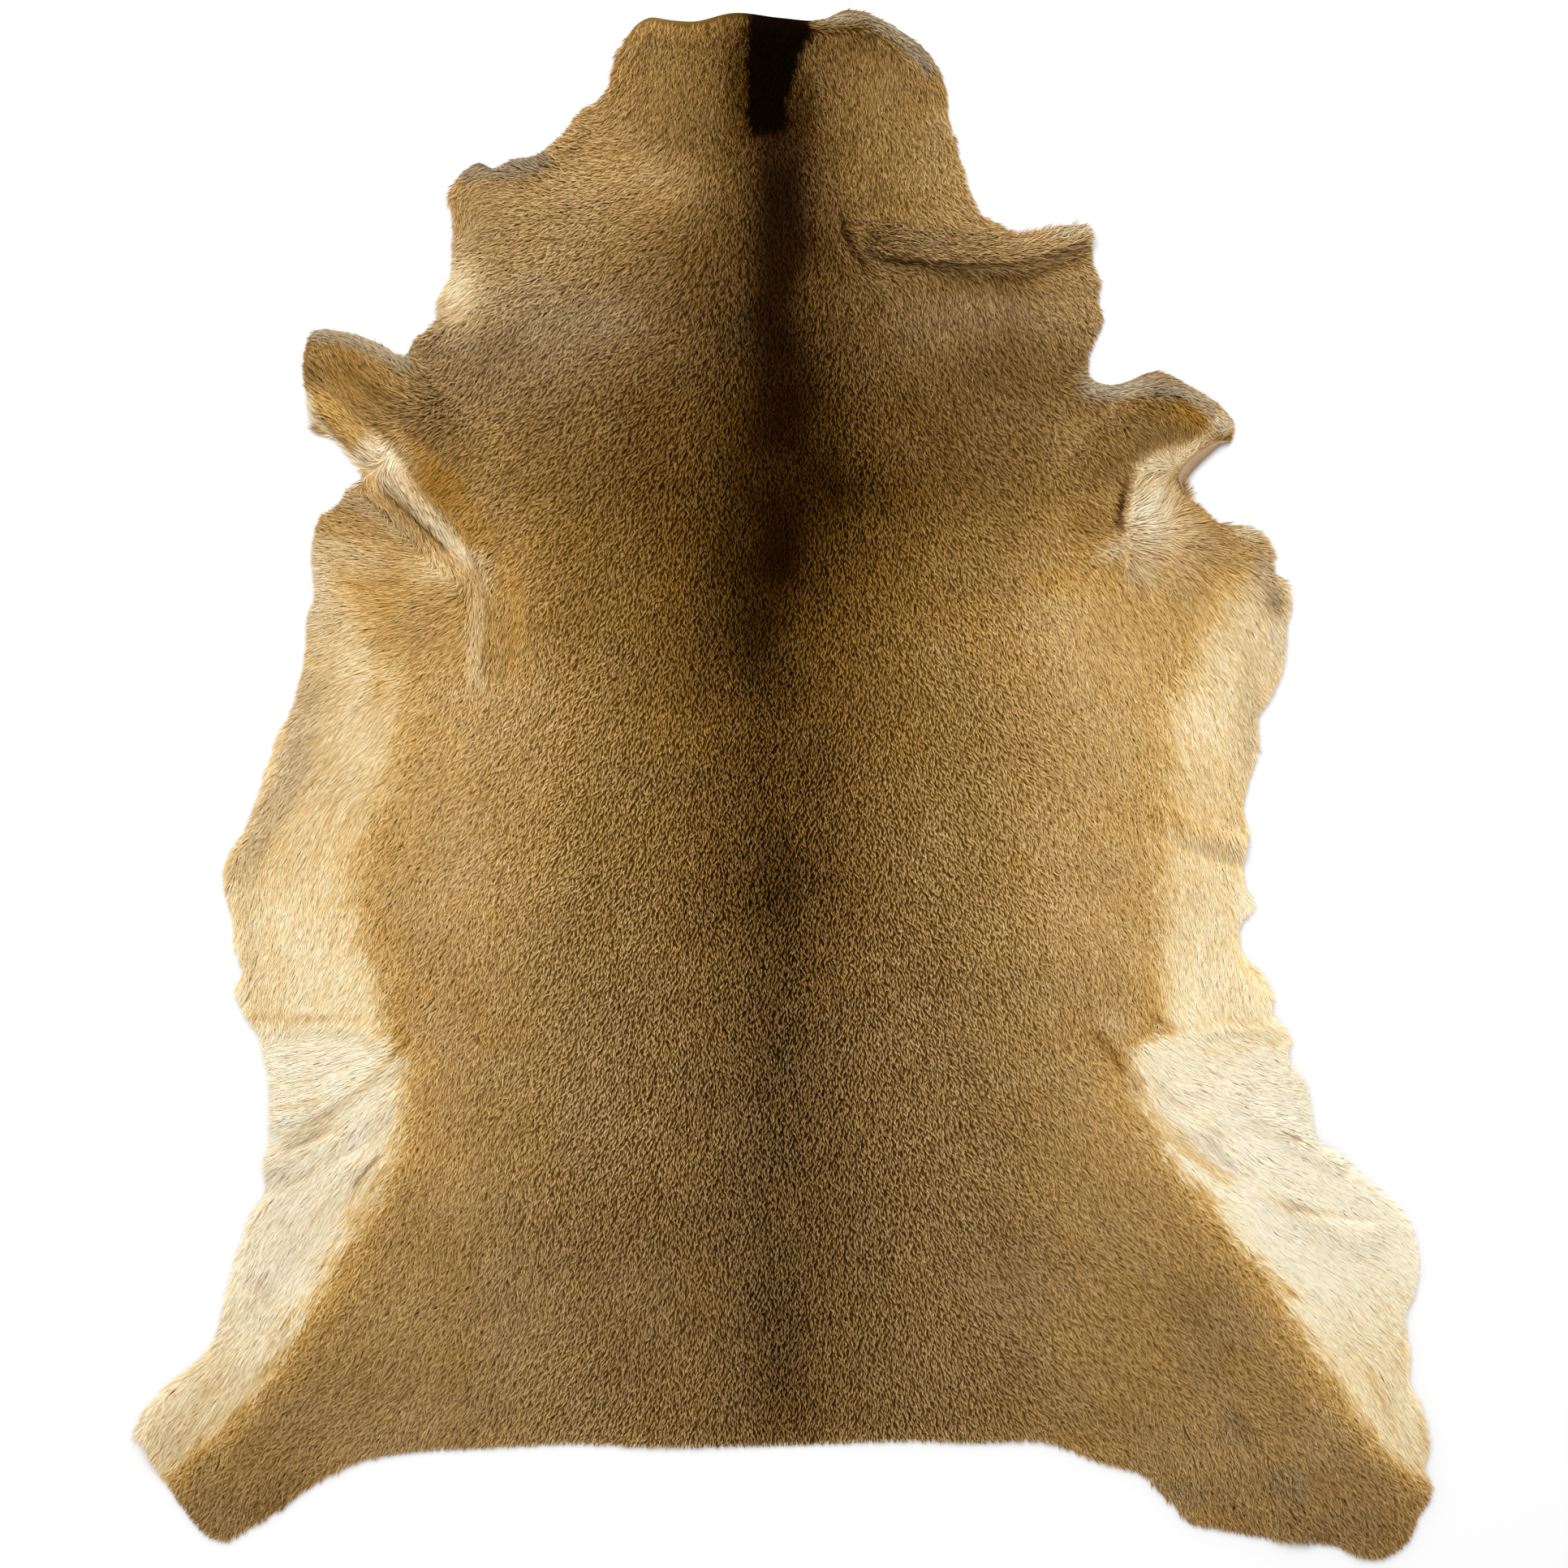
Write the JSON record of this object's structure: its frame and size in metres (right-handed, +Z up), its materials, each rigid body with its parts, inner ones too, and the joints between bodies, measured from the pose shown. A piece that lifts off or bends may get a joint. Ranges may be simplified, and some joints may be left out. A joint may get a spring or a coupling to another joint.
{
  "type": "deerhide rug",
  "caption": "Whole tanned deer hide with its hair on, laid flat as a floor rug, with a pleat at the neck and curled forelegs.",
  "frame": {"origin": "on the floor, under the middle of the hide's box", "axes": "+Z up through the hair, +Y towards the neck along the spine, +X to the right seen from above"},
  "size_m": [1.0662, 1.2743, 0.021],
  "materials": {
    "hide": "short lying deer hair, matt with a soft sheen"
  },
  "bodies": {
    "root": {"hide": "hide"}
  },
  "joints": []
}
